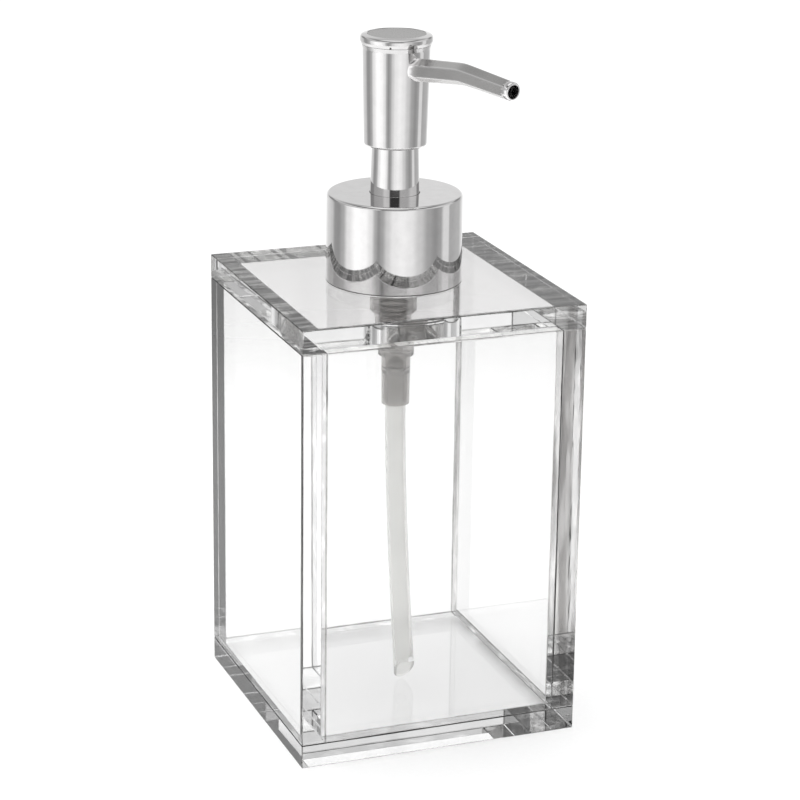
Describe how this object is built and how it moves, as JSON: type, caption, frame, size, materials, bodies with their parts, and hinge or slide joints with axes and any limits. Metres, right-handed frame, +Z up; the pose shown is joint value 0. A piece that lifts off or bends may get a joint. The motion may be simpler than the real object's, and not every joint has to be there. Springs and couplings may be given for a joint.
{
  "type": "soap pump dispenser",
  "caption": "Square bottle of thick clear acrylic sheet with a screw-on chromed lotion pump, bent hexagonal spout and dip tube.",
  "frame": {"origin": "centre of the bottle's square underside, on the pump's axis", "axes": "+Z up along the pump's axis; -Y is the front wall, -X the left wall; the spout points 72 degrees clockwise of +X seen from above, over the front wall"},
  "size_m": [0.072, 0.0775, 0.1721],
  "materials": {
    "clear_acrylic": "clear cast acrylic sheet, polished faces and edges, cemented joints",
    "chrome": "bright polished chrome plate",
    "white_plastic": "moulded natural white polypropylene",
    "clear_plastic": "moulded and extruded milky translucent polyethylene",
    "gasket_rubber": "soft grey sealing elastomer",
    "steel": "bright drawn stainless steel"
  },
  "bodies": {
    "bottle": {"base_plate": "clear_acrylic", "top_plate": "clear_acrylic", "left_wall": "clear_acrylic", "right_wall": "clear_acrylic", "front_wall": "clear_acrylic", "back_wall": "clear_acrylic", "threaded_neck": "clear_acrylic"},
    "pump": {"pump_housing": "clear_plastic", "neck_gasket": "gasket_rubber", "dip_tube": "clear_plastic", "chaplet": "white_plastic", "neck_sleeve": "chrome", "return_spring": "steel"},
    "collar": {"collar_liner": "white_plastic", "collar_shell": "chrome"},
    "piston": {"piston_stem": "white_plastic", "piston_seal": "gasket_rubber", "piston_foot": "white_plastic"},
    "head": {"head_core": "white_plastic", "head_shell": "chrome", "head_top_cap": "chrome", "spout_liner": "clear_plastic"},
    "inlet_valve": {"inlet_ball": "steel"},
    "outlet_valve": {"outlet_ball": "steel"}
  },
  "joints": [
    {"name": "pump_rise", "type": "slide", "parent": "bottle", "child": "pump", "axis": [0, 0, 1], "range_m": [0, 0.1185]},
    {"name": "collar_turn", "type": "hinge", "parent": "pump", "child": "collar", "pos_m": [0, 0, 0.122], "axis": [0, 0, 1], "range_deg": [0, 10080]},
    {"name": "head_press", "type": "slide", "parent": "pump", "child": "piston", "axis": [0, 0, -1], "range_m": [0, 0.01], "stiffness_N_per_m": 500, "springref_m": -0.008, "deforming": ["return_spring"]},
    {"name": "head_swivel", "type": "hinge", "parent": "piston", "child": "head", "pos_m": [0, 0, 0.163], "axis": [0, 0, 1], "continuous": true},
    {"name": "inlet_ball_lift", "type": "slide", "parent": "pump", "child": "inlet_valve", "axis": [0, 0, 1], "range_m": [0, 0.0018]},
    {"name": "outlet_ball_lift", "type": "slide", "parent": "piston", "child": "outlet_valve", "axis": [0, 0, 1], "range_m": [0, 0.0009]}
  ],
  "couplings": [
    {"joint": "pump_rise", "follows": "collar_turn", "m_per_rad": 0.00067322}
  ]
}
